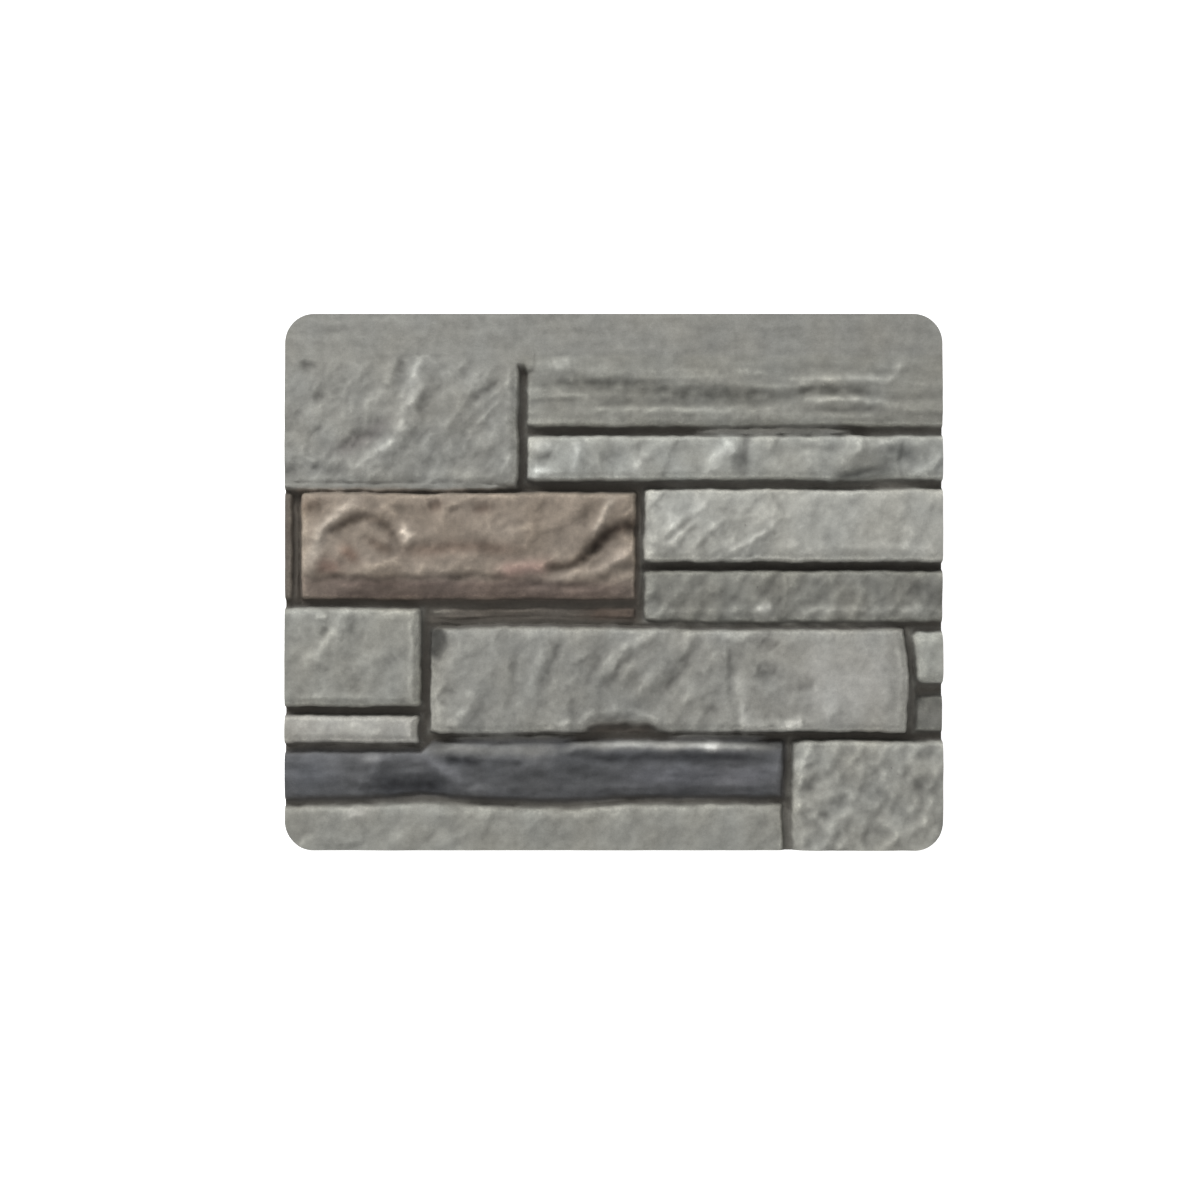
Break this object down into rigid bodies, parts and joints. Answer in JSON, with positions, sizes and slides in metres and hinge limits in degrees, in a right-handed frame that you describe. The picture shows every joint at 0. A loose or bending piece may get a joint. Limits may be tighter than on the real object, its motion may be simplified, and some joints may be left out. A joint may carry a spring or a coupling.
{
  "type": "faux stone wall panel",
  "caption": "Flat-backed moulded foam wall panel with a face of stacked ledge stones in uneven courses, narrow joints, a plain low ledge along its top edge and rounded corners",
  "frame": {"origin": "middle of the flat back face, which lies on the floor", "axes": "+X along the courses to the right, +Y up the wall towards the plain top ledge, +Z out of the stone face"},
  "size_m": [0.406, 0.3312, 0.0294],
  "materials": {
    "stone_face": "moulded rigid polyurethane, matte painted and dry-brushed in weathered stone greys, with one brown and one dark slate stone"
  },
  "bodies": {
    "root": {"stone_panel": "stone_face"}
  },
  "joints": []
}
